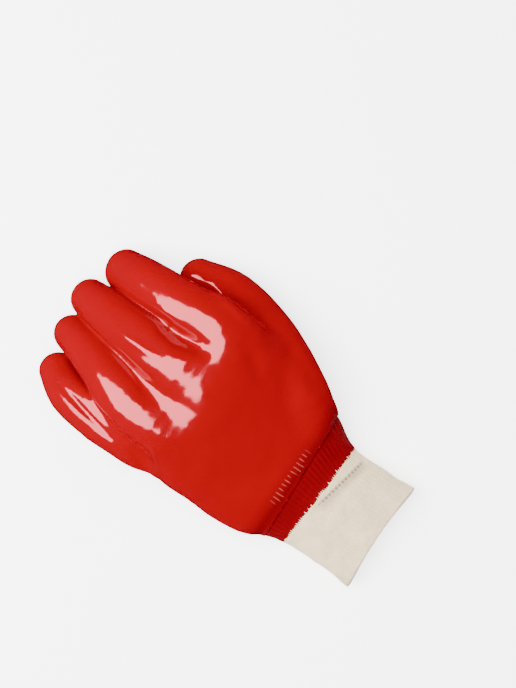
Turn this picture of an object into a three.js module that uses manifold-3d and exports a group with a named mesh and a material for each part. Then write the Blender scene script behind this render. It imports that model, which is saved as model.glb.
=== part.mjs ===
// A left-hand work glove: cotton dipped in glossy red PVC, with a cream knitted wrist. It lies palm down.
// +Y runs from the wrist to the fingertips, +X towards the thumb's side and +Z up from the surface.
// Units are millimetres. The origin is on that surface, under the middle of the cream knit.

import * as THREE from "three";
import { mergeVertices } from "three/addons/utils/BufferGeometryUtils.js";
import Module from "manifold-3d";

const wasm = await Module();
wasm.setup();

// Knitted wrist
const CUFF_LENGTH = 48;
const CUFF_WIDTH = 75;
const CUFF_HEIGHT = 26;
const KNIT_WALL = 2;
const HEM_HOLLOW = 3;
const HEM_ROUND = 1.2;

// Coated band, which is the knit's last stretch before the hand
const BAND_LENGTH = 19;
const BAND_COAT = 1;
const TUCK_LENGTH = 5;

// Dipped hand
const PALM_LENGTH = 120;
const PALM_WIDTH = 117;
const HAND_HEIGHT = 62;
const FINGER_LENGTH = 96;
const FINGER_WIDTH = 27;
const THUMB_LENGTH = 118;
const THUMB_WIDTH = 28;
const HAND_WALL = 1.6;
const FOLD_DEPTH = 2.2;

// Clearance between neighbouring pieces
const GAP = 0.3;

// Facets
const SLEEVE_SIDES = 48;
const PALM_STEPS = 14;
const FINGER_SIDES = 16;
const STEPS_PER_BONE = 3;
const MERGE_DISTANCE = 1e-4;

const HEM_Y = -CUFF_LENGTH / 2;
const DIP_Y = CUFF_LENGTH / 2;
const HAND_Y = DIP_Y + BAND_LENGTH;
const SECTION_POWER = 2.25;

// Outline of the sleeve that shows, from the hem to the hand. Widths are shares of CUFF_WIDTH, measured
// from the sleeve's axis, and heights are shares of CUFF_HEIGHT.
const SLEEVE_SECTIONS = [
  { cuff: 0.0, band: 0.0, pinkySide: 0.512, thumbSide: 0.512, under: -0.035, back: 0.77 },
  { cuff: 0.3, band: 0.0, pinkySide: 0.488, thumbSide: 0.492, under: -0.035, back: 0.85 },
  { cuff: 0.7, band: 0.0, pinkySide: 0.48, thumbSide: 0.485, under: -0.035, back: 0.95 },
  { cuff: 1.0, band: 0.0, pinkySide: 0.485, thumbSide: 0.5, under: -0.035, back: 1.0 },
  { cuff: 1.0, band: 0.5, pinkySide: 0.51, thumbSide: 0.575, under: 0.0, back: 1.1 },
  { cuff: 1.0, band: 1.0, pinkySide: 0.56, thumbSide: 0.665, under: 0.07, back: 1.25 },
];

// Sections of the palm. Widths are shares of PALM_WIDTH from the sleeve's axis, heights are shares of
// HAND_HEIGHT, and tilt lifts the thumb's side by that many degrees.
const PALM_SECTIONS = [
  { along: 0.11, pinkySide: 0.41, thumbSide: 0.495, under: -0.01, back: 0.63, tilt: 0 },
  { along: 0.25, pinkySide: 0.42, thumbSide: 0.525, under: -0.01, back: 0.72, tilt: 1 },
  { along: 0.4, pinkySide: 0.41, thumbSide: 0.545, under: 0.03, back: 0.81, tilt: 2 },
  { along: 0.56, pinkySide: 0.39, thumbSide: 0.555, under: 0.09, back: 0.89, tilt: 3.5 },
  { along: 0.7, pinkySide: 0.385, thumbSide: 0.56, under: 0.2, back: 0.95, tilt: 5 },
  { along: 0.79, pinkySide: 0.385, thumbSide: 0.555, under: 0.29, back: 0.955, tilt: 5 },
  { along: 0.87, pinkySide: 0.37, thumbSide: 0.54, under: 0.38, back: 0.89, tilt: 5 },
  { along: 0.94, pinkySide: 0.34, thumbSide: 0.5, under: 0.46, back: 0.77, tilt: 5 },
  { along: 1.0, pinkySide: 0.28, thumbSide: 0.43, under: 0.53, back: 0.65, tilt: 5 },
];

// Fingers and thumb. The root lies inside the palm and the knuckle where the digit leaves it: across is a
// share of PALM_WIDTH, along of PALM_LENGTH and rise of HAND_HEIGHT. reach and girth are shares of the
// finger's or the thumb's named length and width. leans turn each bone towards the thumb's side and slopes
// tip it down, in degrees. widths are shares of the girth at the root, the three joints and the tip.
const DIGITS = [
  {
    name: "index",
    root: { across: 0.43, along: 0.5, rise: 0.58 },
    knuckle: { across: 0.445, along: 0.775 },
    reach: 0.96,
    girth: 1.08,
    leans: [-2, -3, -4],
    slopes: [10, 32, 45],
    widths: [1.0, 1.06, 1.02, 0.98, 0.91],
  },
  {
    name: "middle",
    root: { across: 0.13, along: 0.54, rise: 0.62 },
    knuckle: { across: 0.145, along: 0.817 },
    reach: 1.01,
    girth: 1.0,
    leans: [4, 4, 3],
    slopes: [12, 34, 47],
    widths: [1.2, 1.34, 1.14, 0.98, 0.89],
  },
  {
    name: "ring",
    root: { across: -0.16, along: 0.5, rise: 0.58 },
    knuckle: { across: -0.175, along: 0.79 },
    reach: 1.02,
    girth: 0.97,
    leans: [15, 14, 9],
    slopes: [11, 32, 45],
    widths: [1.1, 1.22, 1.07, 0.93, 0.85],
  },
  {
    name: "pinky",
    root: { across: -0.26, along: 0.42, rise: 0.45 },
    knuckle: { across: -0.33, along: 0.775 },
    reach: 0.885,
    girth: 0.92,
    leans: [0, 6, 26],
    slopes: [6, 22, 34],
    widths: [0.9, 1.02, 0.99, 0.94, 0.88],
  },
  {
    name: "thumb",
    root: { across: 0.28, along: 0.05, rise: 0.34 },
    knuckle: { across: 0.4, along: 0.19 },
    reach: 1.0,
    girth: 1.0,
    leans: [27, 12, -10],
    slopes: [4.5, 8.5, 12],
    widths: [0.75, 1.1, 1.07, 1.0, 0.9],
  },
];
const FINGER_BONES = [0.45, 0.32, 0.23];
const THUMB_BONES = [0.448, 0.328, 0.224];
const DEPTHS_ALONG = [0.75, 0.94, 0.94, 0.92, 0.88];
const TIP_RINGS = [25, 50, 72];

// Soft folds pressed into the back of the hand, from (x1, along1) to (x2, along2): x is a share of
// PALM_WIDTH, along of PALM_LENGTH, depth of FOLD_DEPTH and spread of PALM_WIDTH.
const BACK_FOLDS = [
  { x1: 0.355, along1: 0.446, x2: 0.446, along2: 0.595, depth: 1.0, spread: 0.04 },
  { x1: 0.332, along1: 0.19, x2: 0.474, along2: 0.462, depth: 1.1, spread: 0.044 },
  { x1: -0.3, along1: 0.8, x2: -0.37, along2: 0.62, depth: 1.4, spread: 0.056 },
];

const red = new THREE.MeshStandardMaterial({ color: 0xd8050c, roughness: 0.22, metalness: 0 });
const ribRed = new THREE.MeshStandardMaterial({ color: 0xb90409, roughness: 0.4, metalness: 0 });
const cream = new THREE.MeshStandardMaterial({ color: 0xe6dccd, roughness: 0.95, metalness: 0 });

const mix = (a, b, t) => a + (b - a) * t;
const radians = THREE.MathUtils.degToRad;

// The rows again at even steps, smoothed through the given ones.
function smoothRows(rows, count) {
  const columns = Object.keys(rows[0]);
  const places = rows.map((row) => row.y);
  const values = rows.flatMap((row) => columns.map((column) => row[column]));
  const between = new THREE.CubicInterpolant(places, values, columns.length);
  return Array.from({ length: count + 1 }, (_, i) => {
    const found = between.evaluate(mix(places[0], places[places.length - 1], i / count));
    return Object.fromEntries(columns.map((column, c) => [column, found[c]]));
  });
}

// The row at y, found between the two rows on either side of it. Past the last row its shape stays.
function sectionAt(rows, y) {
  const next = rows.findIndex((row) => row.y > y);
  if (next < 1) return { ...rows[next < 0 ? rows.length - 1 : 0], y };
  const [a, b] = [rows[next - 1], rows[next]];
  const t = (y - a.y) / (b.y - a.y);
  return Object.fromEntries(Object.keys(a).map((key) => [key, mix(a[key], b[key], t)]));
}

// A row drawn in by inset all round, or pushed out where inset is negative.
function insetRow(row, inset) {
  return {
    ...row,
    left: row.left + inset,
    right: row.right - inset,
    under: row.under + inset,
    back: row.back - inset,
  };
}

// How far the folds press the back of the hand down at (x, y).
function foldDepth(x, y) {
  return BACK_FOLDS.reduce((sum, fold) => {
    const from = new THREE.Vector2(fold.x1 * PALM_WIDTH, HAND_Y + fold.along1 * PALM_LENGTH);
    const to = new THREE.Vector2(fold.x2 * PALM_WIDTH, HAND_Y + fold.along2 * PALM_LENGTH);
    const run = to.clone().sub(from);
    const t = THREE.MathUtils.clamp(new THREE.Vector2(x, y).sub(from).dot(run) / run.lengthSq(), 0, 1);
    const away = from.addScaledVector(run, t).distanceTo(new THREE.Vector2(x, y));
    return sum + fold.depth * FOLD_DEPTH * Math.exp(-((away / (fold.spread * PALM_WIDTH)) ** 2));
  }, 0);
}

// One ring of points round the sleeve or palm, flattened where it would pass through the floor.
function ringOf(row, floor, hollow = 0) {
  const middle = new THREE.Vector2((row.left + row.right) / 2, (row.under + row.back) / 2);
  const half = new THREE.Vector2((row.right - row.left) / 2, (row.back - row.under) / 2);
  return Array.from({ length: SLEEVE_SIDES }, (_, i) => {
    const angle = (i / SLEEVE_SIDES) * 2 * Math.PI;
    const shape = (v) => Math.sign(v) * Math.abs(v) ** (2 / SECTION_POWER);
    const across = shape(Math.cos(angle));
    const up = shape(Math.sin(angle));
    const x = middle.x + half.x * across;
    const lift = half.x * across * Math.tan(radians(row.tilt));
    const fold = row.folded * foldDepth(x, row.y) * Math.max(0, up);
    const z = Math.max(floor, middle.y + half.y * up + lift - fold);
    return new THREE.Vector3(x, row.y + hollow * (1 - across ** 2), z);
  });
}

// A closed solid through rings of points, with its ends closed to their middles.
function loft(rings) {
  const sides = rings[0].length;
  const middleOf = (ring) => {
    return ring.reduce((sum, point) => sum.add(point), new THREE.Vector3()).divideScalar(sides);
  };
  const points = [...rings.flat(), middleOf(rings[0]), middleOf(rings[rings.length - 1])];
  const [startCap, endCap] = [points.length - 2, points.length - 1];
  const lastRing = (rings.length - 1) * sides;
  const index = [];
  for (let i = 0; i < sides; i++) {
    const next = (i + 1) % sides;
    index.push(startCap, i, next);
    index.push(endCap, lastRing + next, lastRing + i);
    for (let ring = 0; ring < lastRing; ring += sides) {
      index.push(ring + i, ring + sides + next, ring + next);
      index.push(ring + i, ring + sides + i, ring + sides + next);
    }
  }
  const geometry = new THREE.BufferGeometry().setFromPoints(points);
  geometry.setIndex(index);
  const merged = mergeVertices(geometry, MERGE_DISTANCE);
  return new wasm.Manifold(
    new wasm.Mesh({
      numProp: 3,
      vertProperties: merged.attributes.position.array,
      triVerts: new Uint32Array(merged.index.array),
    }),
  );
}

function meshOf(name, solid, material) {
  const made = solid.getMesh();
  const geometry = new THREE.BufferGeometry();
  geometry.setAttribute("position", new THREE.BufferAttribute(new Float32Array(made.vertProperties), 3));
  geometry.setIndex(new THREE.BufferAttribute(new Uint32Array(made.triVerts), 1));
  geometry.computeVertexNormals();
  const mesh = new THREE.Mesh(geometry, material);
  mesh.name = name;
  return mesh;
}

const sleeveRows = SLEEVE_SECTIONS.map((row) => ({
  y: HEM_Y + row.cuff * CUFF_LENGTH + row.band * BAND_LENGTH,
  left: -row.pinkySide * CUFF_WIDTH,
  right: row.thumbSide * CUFF_WIDTH,
  under: row.under * CUFF_HEIGHT,
  back: row.back * CUFF_HEIGHT,
  tilt: 0,
  folded: 0,
}));
const sleeveEnd = sleeveRows[sleeveRows.length - 1];

// The hand starts round the end of the band and clears it by GAP.
const palmTable = [
  insetRow({ ...sleeveEnd, y: HAND_Y }, -(GAP + HAND_WALL)),
  ...PALM_SECTIONS.map((row) => ({
    y: HAND_Y + row.along * PALM_LENGTH,
    left: -row.pinkySide * PALM_WIDTH,
    right: row.thumbSide * PALM_WIDTH,
    under: row.under * HAND_HEIGHT,
    back: row.back * HAND_HEIGHT,
    tilt: row.tilt,
    folded: 1,
  })),
];
const palmRows = smoothRows(palmTable, PALM_STEPS);

// The joints of a finger from its root in the palm to the centre of its rounded tip, which rests on the
// floor, and its half width and half depth at each.
function jointsOf(digit) {
  const thumb = digit.name === "thumb";
  const half = (digit.girth * (thumb ? THUMB_WIDTH : FINGER_WIDTH)) / 2;
  const widths = digit.widths.map((share) => share * half);
  const depths = DEPTHS_ALONG.map((share) => share * half);
  const boneLength = digit.reach * (thumb ? THUMB_LENGTH : FINGER_LENGTH) - widths[widths.length - 1];
  const steps = (thumb ? THUMB_BONES : FINGER_BONES).map((share, i) => {
    const [lean, slope] = [radians(digit.leans[i]), radians(digit.slopes[i])];
    const flat = share * boneLength * Math.cos(slope);
    const down = share * boneLength * Math.sin(slope);
    return new THREE.Vector3(flat * Math.sin(lean), flat * Math.cos(lean), -down);
  });
  const drop = steps.reduce((sum, step) => sum - step.z, 0);
  const { root, knuckle } = digit;
  const joints = [
    new THREE.Vector3(root.across * PALM_WIDTH, HAND_Y + root.along * PALM_LENGTH, root.rise * HAND_HEIGHT),
    new THREE.Vector3(
      knuckle.across * PALM_WIDTH,
      HAND_Y + knuckle.along * PALM_LENGTH,
      drop + depths[depths.length - 1],
    ),
  ];
  steps.forEach((step) => joints.push(joints[joints.length - 1].clone().add(step)));
  return { joints, widths, depths };
}

// The value at u, from 0 to 1, along a short list.
function along(list, u) {
  const at = u * (list.length - 1);
  const low = Math.min(list.length - 2, Math.floor(at));
  return mix(list[low], list[low + 1], at - low);
}

// The rings of a finger drawn in by inset, with a rounded tip.
function fingerRings(digit, inset) {
  const { joints, widths, depths } = jointsOf(digit);
  const spine = new THREE.CatmullRomCurve3(joints, false, "centripetal");
  const ring = (centre, tangent, width, depth) => {
    const side = new THREE.Vector3(tangent.y, -tangent.x, 0).normalize();
    const up = side.clone().cross(tangent).normalize();
    return Array.from({ length: FINGER_SIDES }, (_, i) => {
      const angle = (i / FINGER_SIDES) * 2 * Math.PI;
      const point = centre.clone();
      point.addScaledVector(side, width * Math.cos(angle));
      point.addScaledVector(up, depth * Math.sin(angle));
      point.z = Math.max(inset, point.z);
      return point;
    });
  };
  const count = (joints.length - 1) * STEPS_PER_BONE;
  const rings = Array.from({ length: count + 1 }, (_, i) => {
    const u = i / count;
    return ring(spine.getPoint(u), spine.getTangent(u), along(widths, u) - inset, along(depths, u) - inset);
  });
  const tangent = spine.getTangent(1);
  const [width, depth] = [along(widths, 1) - inset, along(depths, 1) - inset];
  TIP_RINGS.forEach((degrees) => {
    const angle = radians(degrees);
    const centre = spine.getPoint(1).addScaledVector(tangent, width * Math.sin(angle));
    rings.push(ring(centre, tangent, width * Math.cos(angle), depth * Math.cos(angle)));
  });
  return rings;
}

// Palm, fingers and thumb as one solid form, drawn in by inset.
function handForm(inset) {
  const rows = palmRows.map((row, i) => {
    const drawn = insetRow(row, inset);
    return i === palmRows.length - 1 ? { ...drawn, y: row.y - inset } : drawn;
  });
  if (inset > 0) rows.unshift({ ...rows[0], y: HAND_Y - TUCK_LENGTH });
  const palm = loft(rows.map((row) => ringOf(row, inset)));
  return DIGITS.reduce((form, digit) => form.add(loft(fingerRings(digit, inset))), palm);
}

const coatedHand = handForm(0).subtract(handForm(HAND_WALL));

// A tube between two insets of the sleeve's outline, through the rows at the given places. From HAND_Y on
// it lies on the hand's wall instead of on the floor.
function sleeveTube(places) {
  const outer = [];
  const inner = [];
  places.forEach(({ y, inset, wall, hollow = 0 }) => {
    const row = sectionAt(sleeveRows, y);
    const floor = y < HAND_Y ? 0 : HAND_WALL + GAP;
    outer.push(ringOf(insetRow(row, inset), floor + inset, hollow));
    inner.push(ringOf(insetRow(row, inset + wall), floor + inset + wall, hollow));
  });
  const first = inner[0].map((p) => p.clone().setY(p.y - KNIT_WALL));
  const last = inner[inner.length - 1].map((p) => p.clone().setY(p.y + KNIT_WALL));
  return loft(outer).subtract(loft([first, ...inner, last]));
}

// The hem's hollow fades out over the first half of the cream knit.
const fade = (y) => HEM_HOLLOW * Math.max(0, 1 - (y - HEM_Y) / (CUFF_LENGTH / 2)) ** 2;

// The knit steps in under the band at the dip line, and runs on into the hand.
const stepIn = BAND_COAT + GAP;
const knitEnd = HAND_Y + TUCK_LENGTH;
const creamShares = [0.12, 0.3, 0.5, 0.75];
const knitPlaces = [
  { y: HEM_Y, inset: HEM_ROUND, wall: KNIT_WALL + stepIn - HEM_ROUND, hollow: fade(HEM_Y) },
  { y: HEM_Y + HEM_ROUND, inset: 0, wall: KNIT_WALL + stepIn, hollow: fade(HEM_Y + HEM_ROUND) },
  ...creamShares.map((share) => {
    const y = HEM_Y + share * CUFF_LENGTH;
    return { y, inset: 0, wall: KNIT_WALL + stepIn, hollow: fade(y) };
  }),
  { y: DIP_Y - 2 * GAP, inset: 0, wall: KNIT_WALL + stepIn },
  { y: DIP_Y - GAP, inset: stepIn, wall: KNIT_WALL },
  { y: DIP_Y + BAND_LENGTH / 2, inset: stepIn, wall: KNIT_WALL },
  { y: HAND_Y, inset: stepIn, wall: KNIT_WALL },
  { y: knitEnd, inset: stepIn, wall: KNIT_WALL },
];
const knitWrist = sleeveTube(knitPlaces);

const bandShares = [0, 0.25, 0.5, 0.8, 1];
const bandPlaces = [
  ...bandShares.map((share) => ({ y: DIP_Y + share * BAND_LENGTH, inset: 0, wall: BAND_COAT })),
  { y: knitEnd, inset: 0, wall: BAND_COAT },
];
const coatedBand = sleeveTube(bandPlaces);

const glove = new THREE.Group();
glove.add(meshOf("coated_hand", coatedHand, red));
glove.add(meshOf("coated_band", coatedBand, ribRed));
glove.add(meshOf("knit_wrist", knitWrist, cream));

export default glove;
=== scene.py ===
import math

import bmesh
import bpy
import numpy as np
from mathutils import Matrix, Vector, noise


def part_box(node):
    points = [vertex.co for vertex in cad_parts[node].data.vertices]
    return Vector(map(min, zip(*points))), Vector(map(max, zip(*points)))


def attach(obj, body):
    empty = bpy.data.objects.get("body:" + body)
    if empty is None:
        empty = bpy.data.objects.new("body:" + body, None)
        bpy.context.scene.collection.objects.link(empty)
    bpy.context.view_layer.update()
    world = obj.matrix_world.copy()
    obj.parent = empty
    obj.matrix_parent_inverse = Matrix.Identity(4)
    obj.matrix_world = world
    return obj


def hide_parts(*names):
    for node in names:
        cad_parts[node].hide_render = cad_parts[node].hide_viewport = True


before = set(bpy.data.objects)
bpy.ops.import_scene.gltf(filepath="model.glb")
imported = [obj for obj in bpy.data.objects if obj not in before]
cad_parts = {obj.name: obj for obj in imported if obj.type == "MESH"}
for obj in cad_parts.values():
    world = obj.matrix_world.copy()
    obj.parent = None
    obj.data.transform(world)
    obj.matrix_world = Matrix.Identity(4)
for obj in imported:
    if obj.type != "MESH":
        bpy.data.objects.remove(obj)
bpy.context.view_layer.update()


# Knitted wrist
# A tube of undyed cotton, knitted in fine ribs and folded back at its open end, so that it is two layers
# thick there and has a soft round hem. It runs on inside the band into the hand, and lies on its flat side.

HEM_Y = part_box("knit_wrist")[0].y
DIP_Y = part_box("coated_band")[0].y
SLEEVE_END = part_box("knit_wrist")[1].y
SLEEVE_LENGTH = 0.067
CUFF_WIDTH = 0.075
CUFF_HEIGHT = 0.026
KNIT_WALL = 0.0033
RIBS = 58
POINTS_PER_RIB = 12
SECTION_POWER = 2.25
SECTION_STEP = 0.001
SECTION_SMOOTHING = 40
OUTLINE_POINTS = 1441
SOLE_ROUND = 0.0006

# Columns: place along the sleeve from the hem, reach of the pinky's and the thumb's side, underside, back.
# Places are shares of SLEEVE_LENGTH, widths of CUFF_WIDTH and heights of CUFF_HEIGHT.
SLEEVE_SECTIONS = (
    (0.0, 0.512, 0.512, -0.035, 0.77),
    (0.215, 0.488, 0.492, -0.035, 0.85),
    (0.50, 0.48, 0.485, -0.035, 0.95),
    (0.716, 0.485, 0.50, -0.035, 1.0),
    (0.858, 0.51, 0.575, 0.0, 1.1),
    (1.0, 0.56, 0.665, 0.07, 1.25),
    (1.1, 0.56, 0.665, 0.07, 1.25),
)


def smooth_sections(rows, start, length):
    """Rows of a section table at every millimetre, with their corners rounded off."""
    table = np.array(rows)
    places = start + table[:, 0] * length
    fine = np.arange(places[0], places[-1], SECTION_STEP)
    columns = np.stack([np.interp(fine, places, column) for column in table[:, 1:].T])
    for _ in range(SECTION_SMOOTHING):
        padded = np.pad(columns, ((0, 0), (1, 1)), mode="reflect", reflect_type="odd")
        columns = (padded[:, :-2] + 2 * columns + padded[:, 2:]) / 4
    return fine, columns


def ease(value):
    """A soft step from 0 to 1."""
    value = np.clip(value, 0, 1)
    return value * value * (3 - 2 * value)


def section_bend(value):
    """Bends a sine or cosine so that a round section becomes a fuller one."""
    return np.sign(value) * np.abs(value) ** (2 / SECTION_POWER)


sleeve_places, sleeve_columns = smooth_sections(SLEEVE_SECTIONS, HEM_Y, SLEEVE_LENGTH)
ring_points = RIBS * POINTS_PER_RIB
ring_share = np.arange(ring_points) / ring_points


def sleeve_ring(y, inset):
    """One even ring round the sleeve, drawn in by inset: x, z and the way out from the surface."""
    pinky, thumb, under, back = (np.interp(y, sleeve_places, column) for column in sleeve_columns)
    middle_x, half_x = (thumb - pinky) * CUFF_WIDTH / 2, (thumb + pinky) * CUFF_WIDTH / 2 - inset
    middle_z, half_z = (back + under) * CUFF_HEIGHT / 2, (back - under) * CUFF_HEIGHT / 2 - inset
    angle = np.linspace(0, 2 * np.pi, OUTLINE_POINTS)
    x = middle_x + half_x * section_bend(np.cos(angle))
    z = middle_z + half_z * section_bend(np.sin(angle))
    z = inset + SOLE_ROUND * np.logaddexp(0, (z - inset) / SOLE_ROUND)
    run = np.concatenate([[0], np.cumsum(np.hypot(np.diff(x), np.diff(z)))])
    even = ring_share * run[-1]
    x, z = np.interp(even, run, x), np.interp(even, run, z)
    along_x, along_z = np.roll(x, -2) - np.roll(x, 2), np.roll(z, -2) - np.roll(z, 2)
    size = np.hypot(along_x, along_z)
    return np.stack([x, z, along_z / size, -along_x / size], axis=1)


outer_sheet = np.stack([sleeve_ring(y, 0) for y in sleeve_places])
inner_sheet = np.stack([sleeve_ring(y, KNIT_WALL) for y in sleeve_places])


def on_sheet(sheet, y, lift):
    """Points of the sheet at y, lifted off it. y and lift have a row for each ring and a column round it."""
    at = np.clip((y - sleeve_places[0]) / SECTION_STEP, 0, len(sleeve_places) - 1.001)
    row = at.astype(int)
    share = (at - row)[..., None]
    column = np.arange(ring_points)
    found = (1 - share) * sheet[row, column] + share * sheet[row + 1, column]
    x = found[..., 0] + lift * found[..., 2]
    z = found[..., 1] + lift * found[..., 3]
    return np.stack([x, y, z], axis=-1)


def tube_faces(rows):
    """Four-sided faces between neighbouring rings of points."""
    ring = np.arange(ring_points)
    faces = []
    for row in range(rows - 1):
        a = row * ring_points
        b = a + ring_points
        faces.append(np.stack([a + ring, b + ring, b + np.roll(ring, -1), a + np.roll(ring, -1)], axis=1))
    return np.vstack(faces)


def new_mesh(name, points, faces):
    mesh = bpy.data.meshes.new(name)
    mesh.from_pydata(points.tolist(), [], faces.tolist())
    piece = bpy.data.objects.new(name, mesh)
    bpy.context.scene.collection.objects.link(piece)
    mesh.polygons.foreach_set("use_smooth", [True] * len(mesh.polygons))
    mesh.update()
    return piece


def close_ends(piece, turn_outwards):
    """Joins the outer and the inner skin along their open edges."""
    work = bmesh.new()
    work.from_mesh(piece.data)
    bmesh.ops.bridge_loops(work, edges=[edge for edge in work.edges if edge.is_boundary])
    for face in work.faces:
        face.smooth = True
    if turn_outwards:
        bmesh.ops.recalc_face_normals(work, faces=work.faces)
    work.to_mesh(piece.data)
    work.free()


def swells(points, size, depth, seed):
    """Soft, uneven swells of the given size and depth for each point."""
    flat = points.reshape(-1, 3)
    shift = Vector((seed, 0, 0))
    found = [noise.noise(Vector(p) / size + shift) for p in flat.tolist()]
    return depth * np.array(found).reshape(points.shape[:-1])


def rib_relief(rib_depth, wale_depth):
    """How far the knit sinks between its ribs and between its stitches, round one ring."""
    rib = 0.5 + 0.5 * np.cos(2 * np.pi * RIBS * ring_share)
    wale = np.abs(np.sin(2 * np.pi * RIBS * ring_share)) ** 0.6
    return -rib_depth * (1 - rib) - wale_depth * (1 - wale)


DIP_SLANT = 0.055
DIP_DRIFT = 0.0005
POINT_REACH = (0.0005, 0.0030)
POINT_PAIR = (1, 0.6)
POINT_POWER = 1.15


def dip_edge():
    """Where the red coat ends round the knit: slanted, with ragged points of bare cotton between the ribs."""
    ring = sleeve_ring(DIP_Y, 0)
    wale = 2 * RIBS * ring_share
    random = np.random.default_rng(7)
    reach = random.uniform(*POINT_REACH, 2 * RIBS) * np.tile(POINT_PAIR, RIBS)
    point = (1 - np.abs(2 * (wale % 1) - 1)) ** POINT_POWER
    drift = random.uniform(-DIP_DRIFT, DIP_DRIFT, RIBS + 1)
    drift[-1] = drift[0]
    wander = np.interp(RIBS * ring_share, np.arange(RIBS + 1), drift)
    return DIP_Y - ring[:, 0] * DIP_SLANT + wander + reach[wale.astype(int)] * point


coat_edge = dip_edge()
HEM_ROUND = 0.0012
HEM_HOLLOW = 0.003
HEM_HOLLOW_RUN = 0.024
TUCK_STEP = 0.0004
TUCK_DEPTH = 0.0009
TUCK_RUN = 0.004
SOLE_RISE = (0.002, 0.006)
CREASE = ((0.038, 0.0124), (-0.004, 0.0212))
CREASE_DEPTH = 0.0014
CREASE_SPREAD = 0.0009
CREASE_LOW = 0.016
CREASE_LOW_RUN = 0.004
VALLEY_OFF = 0.0022
VALLEY_SPREAD = 0.0026


def crease_depth(points):
    """The stitched crease across the back of the knit, with a shallow valley on the hem's side of it."""
    a, b = np.array(CREASE[0]), np.array(CREASE[1])
    flat = points[..., :2]
    run = (b - a) / np.linalg.norm(b - a)
    along = (flat - a) @ run / np.linalg.norm(b - a)
    off = (flat - a) @ np.array([run[1], -run[0]])
    fade = ease((along + 0.1) / 0.2) * ease((1.15 - along) / 0.3)
    fade *= ease((points[..., 2] - CREASE_LOW) / CREASE_LOW_RUN)
    dots = 0.65 + 0.35 * np.cos(2 * np.pi * RIBS * ring_share)
    stitched = dots * np.exp(-((off / CREASE_SPREAD) ** 2))
    valley = 0.6 * np.exp(-(((off + VALLEY_OFF) / VALLEY_SPREAD) ** 2))
    return CREASE_DEPTH * (stitched + valley) * fade


across = (outer_sheet[0, :, 0] / outer_sheet[0, :, 0].max()).clip(-1, 1)


def hollowed(places):
    """y of each point of the rings at these places: the hem's middle lies further in than its sides."""
    flat = places[:, None] + np.zeros(ring_points)
    into_hem = np.clip(1 - (flat - HEM_Y) / HEM_HOLLOW_RUN, 0, 1) ** 2
    return flat + HEM_HOLLOW * (1 - across**2) * into_hem


def rounding(past_hem):
    """How far the surface sinks to make the hem round."""
    return HEM_ROUND * (1 - np.sqrt(1 - (1 - np.clip(past_hem / HEM_ROUND, 0, 1)) ** 2))


def off_the_floor(points):
    """Nought where the glove lies on the floor, and one a little above it."""
    return ease((points[..., 2] - SOLE_RISE[0]) / SOLE_RISE[1])


# Rings lie closer together round the ragged end of the coat, from y 19.5 to 30.5 mm.
KNIT_STEP = 0.0007
COAT_END_STEP = 0.0004
COAT_END_LOW = 0.0195
COAT_END_HIGH = 0.0305
TUCK_START = 0.0012
SWELL_FADE = 0.004
KNIT_SWELLS = ((0.014, 0.0008, 3.0), (0.005, 0.0004, 9.0))
KNIT_RIB = 0.00012
KNIT_WALE = 0.00022
INNER_RIB = 0.00006
INNER_WALE = 0.00012
rings = np.concatenate([
    HEM_Y + HEM_ROUND * (1 - np.cos(np.linspace(0, np.pi / 2, 6))),
    np.arange(HEM_Y + HEM_ROUND + KNIT_STEP, COAT_END_LOW, KNIT_STEP),
    np.arange(COAT_END_LOW, COAT_END_HIGH, COAT_END_STEP),
    np.linspace(0.031, SLEEVE_END, 10),
])
past_hem = rings[:, None] - HEM_Y
y = hollowed(rings)
tuck = TUCK_STEP * ease((y - coat_edge + TUCK_START) / TUCK_START)
tuck += TUCK_DEPTH * ease((y - coat_edge) / TUCK_RUN)
base = on_sheet(outer_sheet, y, np.zeros_like(y))
soft = sum(swells(base, *swell) for swell in KNIT_SWELLS)
soft *= off_the_floor(base) * (1 - ease((y - coat_edge + SWELL_FADE) / SWELL_FADE))
lift = rib_relief(KNIT_RIB, KNIT_WALE) - tuck - rounding(past_hem) - crease_depth(base) + soft
knit_outside = on_sheet(outer_sheet, y, lift)

inner_rings = np.concatenate([
    HEM_Y + HEM_ROUND * (1 - np.cos(np.linspace(0, np.pi / 2, 4))),
    np.linspace(HEM_Y + 0.003, SLEEVE_END, 22),
])
lift = rounding(inner_rings[:, None] - HEM_Y) - rib_relief(INNER_RIB, INNER_WALE)
knit_inside = on_sheet(inner_sheet, hollowed(inner_rings), lift)

knit_rings = np.concatenate([knit_inside[::-1], knit_outside])
knit = new_mesh("knitted_wrist", knit_rings.reshape(-1, 3), tube_faces(len(knit_rings)))
close_ends(knit, turn_outwards=True)

# Painted shade darkens the knit in the crease and the shallow valley beside it, on the round hem and along
# the pinky's side; along the crease it also marks darker stitches.
HEM_SHADE_RUN = 0.0025
SIDE_SHADE_X = -0.0315
SIDE_SHADE_RUN = 0.005

painted_shade_and_stitches = np.zeros(knit_rings.shape[:2])
painted_shade_and_stitches[len(knit_inside):] = (
    0.9 * crease_depth(base) / CREASE_DEPTH
    + 0.5 * (1 - np.clip(past_hem / HEM_ROUND, 0, 1))
    + 0.30 * (1 - ease(past_hem / HEM_SHADE_RUN))
    + 0.30 * ease((SIDE_SHADE_X - base[..., 0]) / SIDE_SHADE_RUN)
)
shade_and_stitches = knit.data.attributes.new("shade_and_stitches", "FLOAT", "POINT")
shade_and_stitches.data.foreach_set("value", painted_shade_and_stitches.ravel())

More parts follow.
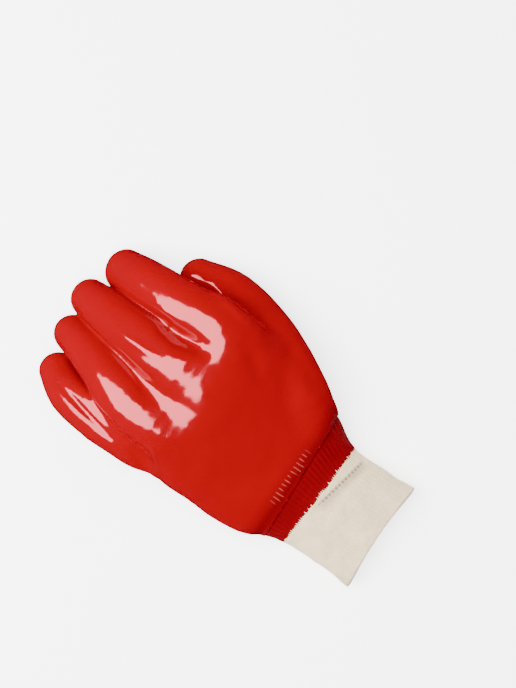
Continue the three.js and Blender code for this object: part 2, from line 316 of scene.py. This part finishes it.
# A map of the stitches for the material: wales round the sleeve and courses along it.
stitches = knit.data.uv_layers.new(name="stitches")
COURSE = 0.0013
corner_points = np.zeros(len(knit.data.loops), dtype=int)
knit.data.loops.foreach_get("vertex_index", corner_points)
wale_number = (corner_points % ring_points) * 2 / POINTS_PER_RIB
course_number = knit_rings.reshape(-1, 3)[corner_points, 1] / COURSE
face_of = np.repeat(np.arange(len(knit.data.polygons)), [len(p.vertices) for p in knit.data.polygons])
first = np.full(len(knit.data.polygons), np.inf)
np.minimum.at(first, face_of, wale_number)
wale_number = np.where(wale_number - first[face_of] > RIBS, wale_number - 2 * RIBS, wale_number)
stitches.data.foreach_set("uv", np.stack([wale_number, course_number], axis=1).ravel())


def new_material(name):
    """A material, its shader and ways to add further nodes to it."""
    material = bpy.data.materials.new(name)
    material.use_nodes = True
    nodes, links = material.node_tree.nodes, material.node_tree.links
    shader = nodes["Principled BSDF"]

    def add(kind, inputs=(), output=0, **settings):
        node = nodes.new(kind)
        for key, value in settings.items():
            setattr(node, key, value)
        for key, value in dict(inputs).items():
            if isinstance(value, bpy.types.NodeSocket):
                links.new(value, node.inputs[key])
            else:
                node.inputs[key].default_value = value
        return node.outputs[output]

    def wire(output, socket):
        links.new(output, shader.inputs[socket])

    return material, shader, add, wire


def reckon(add, operation, *values):
    """One sum worked out on numbers in a material."""
    return add("ShaderNodeMath", dict(enumerate(values)), operation=operation)


def step_between(add, value, low, high, start=0.0, end=1.0):
    """Goes from start to end while value goes from low to high."""
    limits = {"From Min": low, "From Max": high, "To Min": start, "To Max": end}
    return add("ShaderNodeMapRange", {"Value": value, **limits})


def two_tone(add, value, dark, light):
    """Goes from one colour to the other while value goes from 0 to 1."""
    colour = add("ShaderNodeValToRGB", {"Fac": value})
    colour.node.color_ramp.elements[0].color = dark
    colour.node.color_ramp.elements[1].color = light
    return colour


SHADED_COTTON = (0.46, 0.33, 0.18, 1)
CLEAN_COTTON = (0.80, 0.64, 0.41, 1)
# The dark colour that painted shade and the crease's stitches pull the cotton towards.
SHADE_AND_STITCH_COTTON = (0.20, 0.15, 0.10, 1)
STITCH_SLANT = 1.1


def cotton_knit():
    """Cream cotton: V-shaped stitches in each rib, slightly uneven colour, the down of loose fibres, and
    painted shade in the crease, on the hem and along the pinky's side.
    """
    material, shader, add, wire = new_material("cream_cotton_knit")
    place = add("ShaderNodeUVMap", uv_map="stitches")
    wales = add("ShaderNodeSeparateXYZ", {"Vector": place}, output="X")
    courses = add("ShaderNodeSeparateXYZ", {"Vector": place}, output="Y")
    leg = reckon(add, "ABSOLUTE", reckon(add, "SUBTRACT", reckon(add, "FRACT", wales), 0.5))
    slant = reckon(add, "MULTIPLY_ADD", leg, STITCH_SLANT, courses)
    stitch = reckon(add, "SINE", reckon(add, "MULTIPLY", slant, 2 * math.pi))
    spot = add("ShaderNodeTexCoord", output="Object")
    fibres = add("ShaderNodeTexNoise", {"Vector": spot, "Scale": 1500.0, "Detail": 3.0})
    height = reckon(add, "MULTIPLY_ADD", fibres, 1.2, stitch)
    wire(add("ShaderNodeBump", {"Height": height, "Strength": 0.55, "Distance": 0.0002}), "Normal")
    clouds = add("ShaderNodeTexNoise", {"Vector": spot, "Scale": 85.0, "Detail": 5.0, "Roughness": 0.65})
    clean = two_tone(add, clouds, SHADED_COTTON, CLEAN_COTTON)
    # Painted shade: the point attribute darkens the crease, the hem and the pinky's side, and marks darker
    # stitches along the crease.
    shade_and_stitches = add("ShaderNodeAttribute", output="Fac", attribute_name="shade_and_stitches")
    wire(add("ShaderNodeMixRGB", {"Fac": shade_and_stitches, "Color1": clean, "Color2": SHADE_AND_STITCH_COTTON}), "Base Color")
    shader.inputs["Roughness"].default_value = 0.9
    shader.inputs["Specular IOR Level"].default_value = 0.2
    shader.inputs["Sheen Weight"].default_value = 0.3
    return material


knit.data.materials.append(cotton_knit())
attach(knit, "root")
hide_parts("knit_wrist")


# Coated band
# The last stretch of the knit before the hand. The dip soaks it there with a thin red coat that ends in a
# ragged edge, and its ribs still stand out. It runs on inside the hand's edge, like the knit under it.

BAND_COAT = 0.001
EDGE_COAT = 0.00035
EDGE_COAT_ROUND = 0.0006
KNIT_GAP = 0.00005
COAT_LIFT = 0.0001
HAND_NEAR_Y = 0.030
HAND_NEAR_RUN = 0.005
BAND_SWELL = (0.014, 0.0003, 5.0)
SOFT_RIB = 0.00016
SOFT_WALE = 0.00007
DEEP_RIB = 0.0004
band_shares = np.concatenate([
    (1 - np.cos(np.linspace(0, np.pi / 2, 5))) * 0.03,
    np.linspace(0.05, 1, 44),
])
y = coat_edge + band_shares[:, None] * (SLEEVE_END - coat_edge)
past = y - coat_edge
edge_round = np.sqrt(np.clip(past / EDGE_COAT_ROUND, 0, 1))
coat = EDGE_COAT * edge_round + (BAND_COAT - EDGE_COAT) * ease(past / TUCK_RUN)
under = KNIT_GAP - TUCK_STEP - TUCK_DEPTH * ease(past / TUCK_RUN)
base = on_sheet(outer_sheet, y, np.zeros_like(y))
hand_near = ease((y - HAND_NEAR_Y) / HAND_NEAR_RUN)
ribs = rib_relief(SOFT_RIB, SOFT_WALE) * (1 - hand_near) + rib_relief(DEEP_RIB, 0) * hand_near
soft = swells(base, *BAND_SWELL) * ease(past / 0.006) * (1 - hand_near) * off_the_floor(base)
band_outside = on_sheet(outer_sheet, y, under + coat + COAT_LIFT + ribs * ease(past / 0.003) + soft)
band_inside = on_sheet(outer_sheet, y[::4], under[::4])
band_rings = np.concatenate([band_inside[::-1], band_outside])
band = new_mesh("coated_band_skin", band_rings.reshape(-1, 3), tube_faces(len(band_rings)))
close_ends(band, turn_outwards=True)

COAT_MIRROR = (1.0, 0.22, 0.25, 1)
THIN_RED = (0.10, 0.0, 0.0015, 1)
# Painted highlight: pale pink glints on the ribs near the hand's edge, painted into the coat's colour.
RIB_GLINT_PINK = (0.42, 0.09, 0.08, 1)
RIB_PITCH = 0.0032
RIB_GLINT_STRENGTH = 0.38
THIN_COAT_Y = (0.043, 0.053)
TICK_FOOT_Y = (0.0415, 0.047)
TICK_FOOT_RUN = 0.0008
TICK_TOP_Y = (0.0480, 0.0492)
TICK_SIDE_X = (0.016, 0.022)


def coat_end_with_rib_glints(add, place, red):
    """The coat's end on the hand: darker towards the wrist, with short pale ticks on the ribs that are
    painted highlights.
    """
    x = add("ShaderNodeSeparateXYZ", {"Vector": place}, output="X")
    y = add("ShaderNodeSeparateXYZ", {"Vector": place}, output="Y")
    thin = step_between(add, y, *THIN_COAT_Y, 0.9, 0.0)
    red = add("ShaderNodeMixRGB", {"Fac": thin, "Color1": red, "Color2": THIN_RED})
    wander = add("ShaderNodeTexNoise", {"Vector": place, "Scale": 90.0, "Detail": 1.0})
    crest = reckon(add, "SINE", reckon(add, "MULTIPLY_ADD", x, 2 * math.pi / RIB_PITCH, wander))
    rib_number = reckon(add, "MULTIPLY", x, 1 / RIB_PITCH)
    uneven = {"W": rib_number, "Scale": 1.7, "Detail": 0.0}
    foot = add("ShaderNodeTexNoise", uneven, noise_dimensions="1D")
    foot = step_between(add, foot, 0.3, 0.7, *TICK_FOOT_Y)
    glint_masks = (
        step_between(add, crest, 0.6, 1.0),
        step_between(add, reckon(add, "SUBTRACT", y, foot), 0.0, TICK_FOOT_RUN),
        step_between(add, y, *TICK_TOP_Y, 1.0, 0.0),
        step_between(add, reckon(add, "ABSOLUTE", x), *TICK_SIDE_X, RIB_GLINT_STRENGTH, 0.0),
    )
    tick = glint_masks[0]
    for part in glint_masks[1:]:
        tick = reckon(add, "MULTIPLY", tick, part)
    return add("ShaderNodeMixRGB", {"Fac": tick, "Color1": red, "Color2": RIB_GLINT_PINK})


def pvc_coat(name, light, dark, roughness, grain, ior, rib_glint_end=False):
    """Dipped PVC: even red with faint clouding, and a fine grain that the cotton underneath leaves in it."""
    material, shader, add, wire = new_material(name)
    place = add("ShaderNodeTexCoord", output="Object")
    clouds = add("ShaderNodeTexNoise", {"Vector": place, "Scale": 55.0, "Detail": 3.0})
    red = two_tone(add, clouds, dark, light)
    # This end darkens the coat towards the wrist and paints highlights onto its ribs.
    if rib_glint_end:
        red = coat_end_with_rib_glints(add, place, red)
    wire(red, "Base Color")
    speckle = add("ShaderNodeTexNoise", {"Vector": place, "Scale": 900.0, "Detail": 2.0})
    wire(step_between(add, speckle, 0.0, 1.0, roughness * 0.75, roughness * 1.3), "Roughness")
    wire(add("ShaderNodeBump", {"Height": speckle, "Strength": grain, "Distance": 0.0001}), "Normal")
    shader.inputs["IOR"].default_value = ior
    shader.inputs["Specular Tint"].default_value = COAT_MIRROR
    return material


BAND_RED = (0.115, 0.0, 0.002, 1)
BAND_DARK_RED = (0.085, 0.0, 0.0015, 1)
band_red = pvc_coat("red_coat_on_knit", BAND_RED, BAND_DARK_RED, roughness=0.36, grain=0.6, ior=1.15)
band.data.materials.append(band_red)
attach(band, "root")
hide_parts("coated_band")


# Coated hand
# The palm, back, four fingers and thumb of a cotton glove, dipped whole in glossy red PVC. It is one hollow
# skin, 1.6 mm thick, that thins to a soft edge where it meets the ribbed wrist. It lies palm down, so it is
# pressed flat where the fingertips and the thumb touch the floor.

hand_low, hand_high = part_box("coated_hand")
HAND_Y = hand_low.y
PALM_LENGTH = 0.120
PALM_WIDTH = 0.117
HAND_HEIGHT = 0.062
FINGER_LENGTH = 0.096
FINGER_WIDTH = 0.027
THUMB_LENGTH = 0.118
THUMB_WIDTH = 0.028
SKIN = 0.0016
EDGE_SKIN = 0.0002
EDGE_RISE = 0.00025
EDGE_RUN = 0.005
EDGE_Y = 0.0403
EDGE_SLANT = 0.054
WEB_BLEND = 0.009
FLOOR_ROUND = 0.002
PALM_END_ROUND = 0.012
SLEEVE_FIT_RUN = 0.006
DIGIT_MARGIN = 0.016
FAR = 0.05
FINGER_CREASE = 0.0020
PALM_CREASE = 0.006
PALM_CREASE_Y = 0.135
PALM_CREASE_RUN = 0.03
FOLD_LOW = 0.012
FOLD_LOW_RUN = 0.010

# Columns: place along the palm, reach of the pinky's and the thumb's side, underside, back, tilt in degrees.
# Widths are shares of PALM_WIDTH and heights of HAND_HEIGHT. The first row fits round the ribbed band.
PALM_SECTIONS = (
    (-0.12, 0.323, 0.348, -0.016, 0.448, 0.0),
    (-0.05, 0.343, 0.394, 0.003, 0.492, 0.0),
    (0.00, 0.364, 0.431, 0.021, 0.535, 0.0),
    (0.04, 0.385, 0.455, 0.010, 0.56, 0.0),
    (0.11, 0.41, 0.495, -0.01, 0.595, 0.0),
    (0.25, 0.42, 0.525, -0.01, 0.685, 1.0),
    (0.40, 0.41, 0.545, 0.03, 0.80, 2.0),
    (0.52, 0.395, 0.555, 0.075, 0.89, 3.0),
    (0.62, 0.385, 0.56, 0.13, 0.945, 4.0),
    (0.70, 0.385, 0.56, 0.20, 0.94, 4.5),
    (0.79, 0.385, 0.555, 0.29, 0.90, 4.5),
    (0.87, 0.37, 0.54, 0.38, 0.84, 4.5),
    (0.94, 0.34, 0.50, 0.46, 0.74, 4.5),
    (1.02, 0.28, 0.43, 0.53, 0.62, 4.5),
)

# Each digit's root lies inside the palm and its knuckle where it leaves it: across, along and rise are shares
# of PALM_WIDTH, PALM_LENGTH and HAND_HEIGHT. Leans turn its bones towards the thumb and slopes tip them down.
DIGITS = {
    "index": {
        "root": (0.43, 0.50, 0.58),
        "knuckle": (0.445, 0.775),
        "reach": 0.96 * FINGER_LENGTH,
        "half": 0.54 * FINGER_WIDTH,
        "bones": (0.45, 0.32, 0.23),
        "leans": (-2, -3, -4),
        "slopes": (12, 29, 45),
        "widths": (1.0, 1.08, 1.07, 1.03, 0.95),
    },
    "middle": {
        "root": (0.13, 0.54, 0.62),
        "knuckle": (0.145, 0.817),
        "reach": 1.01 * FINGER_LENGTH,
        "half": 0.5 * FINGER_WIDTH,
        "bones": (0.45, 0.32, 0.23),
        "leans": (4, 4, 2),
        "slopes": (15, 30, 47),
        "widths": (1.2, 1.34, 1.2, 1.05, 0.93),
    },
    "ring": {
        "root": (-0.16, 0.50, 0.58),
        "knuckle": (-0.175, 0.79),
        "reach": 1.02 * FINGER_LENGTH,
        "half": 0.485 * FINGER_WIDTH,
        "bones": (0.45, 0.32, 0.23),
        "leans": (15, 14, 9),
        "slopes": (11, 32, 45),
        "widths": (1.1, 1.22, 1.13, 1.0, 0.9),
    },
    "pinky": {
        "root": (-0.26, 0.42, 0.45),
        "knuckle": (-0.31, 0.775),
        "reach": 0.91 * FINGER_LENGTH,
        "half": 0.46 * FINGER_WIDTH,
        "bones": (0.45, 0.32, 0.23),
        "leans": (0, 6, 26),
        "slopes": (7, 21, 31),
        "widths": (0.9, 1.14, 1.18, 1.08, 0.94),
    },
    "thumb": {
        "root": (0.28, 0.05, 0.34),
        "knuckle": (0.40, 0.19),
        "reach": 1.0 * THUMB_LENGTH,
        "half": 0.5 * THUMB_WIDTH,
        "bones": (0.448, 0.328, 0.224),
        "leans": (27, 12, -10),
        "slopes": (4.5, 8.5, 12),
        "widths": (0.75, 1.1, 1.07, 1.0, 0.9),
    },
}
DEPTHS = (0.75, 0.94, 0.94, 0.92, 0.88)
SPINE_STEPS = 6

# Soft folds in the back: x and y at both ends as shares of PALM_WIDTH and PALM_LENGTH, then depth and
# spread in metres. A fold with a negative depth stands up as a ridge.
BACK_FOLDS = (
    ((0.355, 0.446), (0.446, 0.595), 0.0015, 0.0055),
    ((0.56, 0.37), (0.47, 0.12), 0.0016, 0.0055),
    ((-0.31, 0.82), (-0.39, 0.60), 0.0034, 0.0060),
    ((-0.275, 0.70), (-0.385, 0.60), -0.0009, 0.0022),
    ((-0.283, 1.29), (-0.354, 0.91), 0.0015, 0.0022),
    ((-0.222, 1.25), (-0.255, 0.98), -0.0015, 0.0036),
    ((0.617, 0.94), (0.568, 0.59), -0.0026, 0.0046),
    ((0.130, 1.207), (0.139, 0.913), -0.0009, 0.0027),
    ((0.362, 1.10), (0.335, 0.90), -0.0012, 0.0040),
    ((0.31, 0.77), (0.28, 0.98), 0.0036, 0.0055),
)


def digit_spine(digit):
    """Centres, half widths and half depths along one digit, smooth through its joints."""
    reach = digit["reach"] - digit["widths"][-1] * digit["half"]
    steps = []
    for bone, lean, slope in zip(digit["bones"], np.radians(digit["leans"]), np.radians(digit["slopes"])):
        flat = bone * reach * math.cos(slope)
        steps.append((flat * math.sin(lean), flat * math.cos(lean), -bone * reach * math.sin(slope)))
    steps = np.array(steps)
    root = np.array(digit["root"]) * (PALM_WIDTH, PALM_LENGTH, HAND_HEIGHT) + (0, HAND_Y, 0)
    across, along = digit["knuckle"]
    tip_depth = DEPTHS[-1] * digit["half"]
    knuckle = np.array([across * PALM_WIDTH, HAND_Y + along * PALM_LENGTH, tip_depth - steps[:, 2].sum()])
    joints = np.vstack([root, knuckle, knuckle + np.cumsum(steps, axis=0)])
    chord = np.linalg.norm(np.diff(joints, axis=0), axis=1)
    place = np.concatenate([[0], np.cumsum(chord)])
    slopes = np.gradient(joints, place, axis=0)
    at = np.linspace(0, place[-1], SPINE_STEPS * len(chord) + 1)
    bone = np.clip(np.searchsorted(place, at, side="right") - 1, 0, len(chord) - 1)
    t = ((at - place[bone]) / chord[bone])[:, None]
    centres = (
        (2 * t**3 - 3 * t**2 + 1) * joints[bone]
        + (t**3 - 2 * t**2 + t) * chord[bone][:, None] * slopes[bone]
        + (3 * t**2 - 2 * t**3) * joints[bone + 1]
        + (t**3 - t**2) * chord[bone][:, None] * slopes[bone + 1]
    )
    widths = np.interp(at, place, digit["widths"]) * digit["half"]
    depths = np.interp(at, place, DEPTHS) * digit["half"]
    return centres, widths, depths


def melt(a, b, width):
    """The nearer of two distances, rounded off where they cross."""
    h = np.clip(0.5 + 0.5 * (b - a) / width, 0, 1)
    return b + h * (a - b) - width * h * (1 - h)


# Towards the wrist the hand's four reaches go over into the sleeve's, a little further out. Columns: the
# sleeve's size, the hand's size, and which way is out.
SLEEVE_FITS = (
    (CUFF_WIDTH, PALM_WIDTH, 1),
    (CUFF_WIDTH, PALM_WIDTH, 1),
    (CUFF_HEIGHT, HAND_HEIGHT, -1),
    (CUFF_HEIGHT, HAND_HEIGHT, 1),
)
palm_places, palm_columns = smooth_sections(PALM_SECTIONS, HAND_Y, PALM_LENGTH)
hold = 1 - ease((palm_places - EDGE_Y) / SLEEVE_FIT_RUN)
for i, (sleeve_size, hand_size, way) in enumerate(SLEEVE_FITS):
    reach = np.interp(palm_places, sleeve_places, sleeve_columns[i]) * sleeve_size + way * EDGE_RISE
    palm_columns[i] += hold * (reach / hand_size - palm_columns[i])
spines = {name: digit_spine(digit) for name, digit in DIGITS.items()}


def palm_distance(points):
    """Distance from the palm's form alone, without digits."""
    x, y, z = points.T
    pinky, thumb, under, back, tilt = (np.interp(y, palm_places, column) for column in palm_columns)
    middle_x, half_x = (thumb - pinky) * PALM_WIDTH / 2, (thumb + pinky) * PALM_WIDTH / 2
    middle_z, half_z = (back + under) * HAND_HEIGHT / 2, (back - under) * HAND_HEIGHT / 2
    lifted = z - middle_z - x * np.tan(np.radians(tilt))
    u = np.abs(x - middle_x) / half_x + 1e-6
    w = np.abs(lifted) / half_z + 1e-6
    r = (u**SECTION_POWER + w**SECTION_POWER) ** (1 / SECTION_POWER)
    steep_x = (u / r) ** (SECTION_POWER - 1) / half_x
    steep_z = (w / r) ** (SECTION_POWER - 1) / half_z
    side = (r - 1) / np.hypot(steep_x, steep_z)
    end = y - (HAND_Y + PALM_LENGTH)
    return -melt(-side, -end, PALM_END_ROUND)


def digit_distance(points, spine):
    """Distance from one digit, near it, and FAR elsewhere."""
    centres, widths, depths = spine
    reach = widths.max() + DIGIT_MARGIN
    near = np.all((points > centres.min(0) - reach) & (points < centres.max(0) + reach), axis=1)
    found = np.full(len(points), FAR)
    close = points[near]
    best = np.full(len(close), FAR)
    tangents = np.gradient(centres, axis=0)
    tangents /= np.linalg.norm(tangents, axis=1)[:, None]
    sides = np.stack([tangents[:, 1], -tangents[:, 0], np.zeros(len(tangents))], axis=1)
    sides /= np.linalg.norm(sides, axis=1)[:, None]
    ups = np.cross(sides, tangents)
    for i in range(len(centres) - 1):
        run = centres[i + 1] - centres[i]
        t = np.clip((close - centres[i]) @ run / (run @ run), 0, 1)
        away = close - centres[i] - t[:, None] * run
        width = widths[i] + t * (widths[i + 1] - widths[i])
        depth = depths[i] + t * (depths[i + 1] - depths[i])
        parts = []
        for vectors, half in ((sides, width), (ups, depth), (tangents, depth)):
            vector = vectors[i] + t[:, None] * (vectors[i + 1] - vectors[i])
            parts.append((np.einsum("ij,ij->i", away, vector), half))
        r = np.sqrt(sum((part / half) ** 2 for part, half in parts)) + 1e-6
        steep = np.sqrt(sum((part / half**2) ** 2 for part, half in parts)) / r + 1e-3
        best = np.minimum(best, (r - 1) / steep)
    found[near] = best
    return found


def fold_depth(points):
    """How far the folds press the back of the hand in."""
    flat = points[:, :2]
    pressed = np.zeros(len(points))
    for start, end, depth, spread in BACK_FOLDS:
        a = np.array([start[0] * PALM_WIDTH, HAND_Y + start[1] * PALM_LENGTH])
        b = np.array([end[0] * PALM_WIDTH, HAND_Y + end[1] * PALM_LENGTH])
        t = np.clip((flat - a) @ (b - a) / ((b - a) @ (b - a)), 0, 1)
        away = np.linalg.norm(flat - a - t[:, None] * (b - a), axis=1)
        taper = 0.35 + 0.65 * np.sin(np.pi * np.clip(t, 0.05, 0.95))
        pressed += depth * taper * np.exp(-((away / spread) ** 2))
    return pressed * ease((points[:, 2] - FOLD_LOW) / FOLD_LOW_RUN)


def hand_distance(points):
    """Distance from the outer skin of the hand, negative inside it."""
    fingers = np.full(len(points), FAR)
    near_palm = ease((HAND_Y + PALM_CREASE_Y - points[:, 1]) / PALM_CREASE_RUN)
    crease = FINGER_CREASE + PALM_CREASE * near_palm
    for spine in spines.values():
        fingers = melt(fingers, digit_distance(points, spine), crease)
    whole = melt(palm_distance(points), fingers, WEB_BLEND)
    whole = whole + fold_depth(points)
    return -melt(-whole, points[:, 2], FLOOR_ROUND)


def wrist_edge(points):
    """Where the hand ends on the band, further down the wrist on the pinky's side."""
    return EDGE_Y + EDGE_SLANT * points[:, 0]


def hollow_distance(points):
    """Distance from the inner skin, which follows the outer one and meets it at the thin wrist edge."""
    thin = ease((points[:, 1] - wrist_edge(points)) / EDGE_RUN)
    return hand_distance(points) + EDGE_SKIN + thin * (SKIN - EDGE_SKIN)


def along_axis(array, axis, start, stop):
    """The slices of an array from start to stop along one axis."""
    index = [slice(None)] * array.ndim
    index[axis] = slice(start, stop)
    return array[tuple(index)]


def skin_net(distance, low, high, step):
    """Points and four-sided faces on the surface where distance is zero, open at low y."""
    counts = np.ceil((np.array(high) - np.array(low)) / step).astype(int) + 1
    axes = [low[i] + step * np.arange(counts[i]) for i in range(3)]
    grid = np.stack(np.meshgrid(*axes, indexing="ij"), axis=-1)
    values = distance(grid.reshape(-1, 3)).reshape(counts)
    total = np.zeros((*(counts - 1), 3))
    crossings = np.zeros(counts - 1)
    for axis in range(3):
        here = along_axis(values, axis, 0, counts[axis] - 1)
        there = along_axis(values, axis, 1, counts[axis])
        crossed = (here < 0) != (there < 0)
        share = np.where(crossed, here / np.where(crossed, here - there, 1), 0)
        point = along_axis(grid, axis, 0, counts[axis] - 1).copy()
        point[..., axis] += share * step
        b, c = (axis + 1) % 3, (axis + 2) % 3
        for start_b, start_c in ((0, 0), (0, 1), (1, 0), (1, 1)):
            part, place = crossed, point
            for side, start in ((b, start_b), (c, start_c)):
                part = along_axis(part, side, start, counts[side] - 1 + start)
                place = along_axis(place, side, start, counts[side] - 1 + start)
            total += place * part[..., None]
            crossings += part
    active = crossings > 0
    points = total[active] / crossings[active][:, None]
    number = np.full(active.shape, -1)
    number[active] = np.arange(len(points))
    rim = np.argwhere(active)[:, 1] == 0
    faces = []
    for axis in range(3):
        here = along_axis(values, axis, 0, counts[axis] - 1) < 0
        there = along_axis(values, axis, 1, counts[axis]) < 0
        b, c = (axis + 1) % 3, (axis + 2) % 3
        edges = np.argwhere(here != there)
        for side in (b, c):
            edges = edges[(edges[:, side] > 0) & (edges[:, side] < counts[side] - 1)]
        corners = []
        for back_b, back_c in ((1, 1), (0, 1), (0, 0), (1, 0)):
            cell = edges.copy()
            cell[:, b] -= back_b
            cell[:, c] -= back_c
            corners.append(number[tuple(cell.T)])
        quads = np.stack(corners, axis=1)
        outward = here[tuple(edges.T)]
        quads[~outward] = quads[~outward][:, ::-1]
        faces.append(quads)
    return points, np.vstack(faces), rim


def settle_on(distance, points, faces, rim, step, rounds):
    """Evens the points out and draws them exactly onto the surface. Rim points keep to the wrist edge."""
    points[rim, 1] = wrist_edge(points[rim])
    links = np.vstack([faces[:, [0, 1]], faces[:, [1, 2]], faces[:, [2, 3]], faces[:, [3, 0]]])
    degree = np.bincount(links.ravel(), minlength=len(points))[:, None]
    probe = step * 0.1
    for _ in range(rounds):
        mean = np.zeros_like(points)
        np.add.at(mean, links[:, 0], points[links[:, 1]])
        np.add.at(mean, links[:, 1], points[links[:, 0]])
        moved = points + 0.5 * (mean / degree - points)
        moved[rim] = points[rim]
        points = moved
        for _ in range(2):
            value = distance(points)
            rises = [distance(points + probe * way) - value for way in np.eye(3)]
            slope = np.stack(rises, axis=1) / probe
            slope[rim, 1] = 0
            size = np.einsum("ij,ij->i", slope, slope) + 1e-6
            move = -(value / size)[:, None] * slope
            reach = np.linalg.norm(move, axis=1) + 1e-12
            move *= np.minimum(1, 0.5 * step / reach)[:, None]
            points = points + move
            points[rim, 1] = wrist_edge(points[rim])
    return points


def hand_skin(distance, step, rounds=2):
    """A net of points on the skin, its grid slanted like the wrist edge, so that the open end is even."""
    margin = 0.004
    low = (hand_low.x - margin, EDGE_Y - step / 2, -0.002)
    high = (hand_high.x + margin, hand_high.y + margin, hand_high.z + 0.007)
    lean = np.array([[1, EDGE_SLANT, 0], [0, 1, 0], [0, 0, 1]])
    points, faces, rim = skin_net(lambda upright: distance(upright @ lean), low, high, step)
    points = points @ lean
    return settle_on(distance, points, faces, rim, step, rounds), faces


OUTER_STEP = 0.0012
INNER_STEP = 0.0024
LINING_START = 0.012
MATT_RIM = 0.0024
HAND_SWELLS = ((0.017, 0.00035, 1.0), (0.007, 0.00010, 4.0))
GLOSSY_RED, PALE_LINING, MATT_RED = 0, 1, 2
outer_points, outer_faces = hand_skin(hand_distance, OUTER_STEP)
inner_points, inner_faces = hand_skin(hollow_distance, INNER_STEP)
hand = new_mesh(
    "coated_hand_skin",
    np.vstack([outer_points, inner_points]),
    np.vstack([outer_faces, inner_faces[:, ::-1] + len(outer_points)]),
)
deep = inner_points[inner_faces[:, 0], 1] > EDGE_Y + LINING_START
middles = outer_points[outer_faces].mean(axis=1)
rim_faces = middles[:, 1] < wrist_edge(middles) + MATT_RIM
shades = np.concatenate([np.where(rim_faces, MATT_RED, GLOSSY_RED), np.where(deep, PALE_LINING, MATT_RED)])
hand.data.polygons.foreach_set("material_index", shades.tolist())

outward = np.zeros(3 * len(hand.data.vertices))
hand.data.vertices.foreach_get("normal", outward)
outward = outward.reshape(-1, 3)[: len(outer_points)]
uneven = sum(swells(outer_points, *swell) for swell in HAND_SWELLS)
uneven *= ease((outer_points[:, 1] - wrist_edge(outer_points)) / 0.008)
uneven *= ease((outer_points[:, 2] - 0.001) / 0.006)
moved = np.vstack([outer_points + uneven[:, None] * outward, inner_points])
hand.data.vertices.foreach_set("co", moved.ravel())
close_ends(hand, turn_outwards=False)


HAND_RED = (0.182, 0.0, 0.0025, 1)
HAND_DARK_RED = (0.160, 0.0, 0.002, 1)
PALE_PINK = (0.45, 0.2, 0.18, 1)
DARKER_PINK = (0.38, 0.16, 0.15, 1)
hand_red = pvc_coat(
    "red_pvc", HAND_RED, HAND_DARK_RED, roughness=0.10, grain=0.2, ior=1.9, rib_glint_end=True
)
hand_lining = pvc_coat(
    "pale_pink_cotton_back", PALE_PINK, DARKER_PINK, roughness=0.85, grain=0.8, ior=1.3
)
for coat in (hand_red, hand_lining, band_red):
    hand.data.materials.append(coat)
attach(hand, "root")
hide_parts("coated_hand")


# Floor, light and camera
# A plain white table top, lit by a large soft light from the fingers' side and seen from straight above.

FLOOR_HALF = 3.0
FLOOR_Z = -0.0002
FLOOR_CORNERS = ((-1, -1), (1, -1), (1, 1), (-1, 1))
WHITE = (1, 1, 1, 1)
floor_mesh = bpy.data.meshes.new("floor")
floor_mesh.from_pydata(
    [(x * FLOOR_HALF, y * FLOOR_HALF, FLOOR_Z) for x, y in FLOOR_CORNERS],
    [],
    [(0, 1, 2, 3)],
)
floor = bpy.data.objects.new("floor", floor_mesh)
bpy.context.scene.collection.objects.link(floor)
floor_white, floor_shader, *_ = new_material("floor_white")
floor_shader.inputs["Base Color"].default_value = (0.9, 0.9, 0.9, 1)
floor_shader.inputs["Roughness"].default_value = 0.9
floor_shader.inputs["Emission Color"].default_value = WHITE
floor_shader.inputs["Emission Strength"].default_value = 2.5
floor.visible_glossy = False
floor_mesh.materials.append(floor_white)

IMAGE_TURN = math.atan2(-0.827, 0.563)
VIEW_CENTRE = Vector((0.0576, 0.1098, 0.018))
VIEW_HEIGHT = 0.4334
LENS = 100
SENSOR = 36
camera_data = bpy.data.cameras.new("camera")
camera_data.lens = LENS
camera_data.sensor_width = SENSOR
camera = bpy.data.objects.new("camera", camera_data)
camera.location = VIEW_CENTRE + Vector((0, 0, VIEW_HEIGHT * LENS / SENSOR))
camera.rotation_euler = (0, 0, IMAGE_TURN)
bpy.context.scene.collection.objects.link(camera)
bpy.context.scene.camera = camera

image_right = Vector((math.cos(IMAGE_TURN), math.sin(IMAGE_TURN), 0))
image_up = Vector((-math.sin(IMAGE_TURN), math.cos(IMAGE_TURN), 0))
GLOVE_MIDDLE = Vector((0.02, 0.11, 0.02))


def soft_light(name, right, up, height, size, power, mirrored):
    """A soft light at a place in the picture, facing straight down, which the coat may mirror."""
    data = bpy.data.lights.new(name, "AREA")
    data.shape = "RECTANGLE"
    data.size, data.size_y = size
    data.energy = power
    light = bpy.data.objects.new(name, data)
    light.visible_glossy = mirrored
    light.location = GLOVE_MIDDLE + image_right * right + image_up * up + Vector((0, 0, height))
    light.rotation_euler = (0, 0, IMAGE_TURN)
    bpy.context.scene.collection.objects.link(light)


soft_light("left_softbox", right=-0.85, up=0.03, height=1.1, size=(1.98, 0.98), power=112, mirrored=True)
soft_light("right_fill", right=1.0, up=0.6, height=1.2, size=(0.8, 0.8), power=8, mirrored=False)

world = bpy.data.worlds.new("studio")
world.use_nodes = True
background = world.node_tree.nodes["Background"]
background.inputs["Color"].default_value = WHITE
background.inputs["Strength"].default_value = 0.5
world.cycles_visibility.glossy = False
bpy.context.scene.world = world
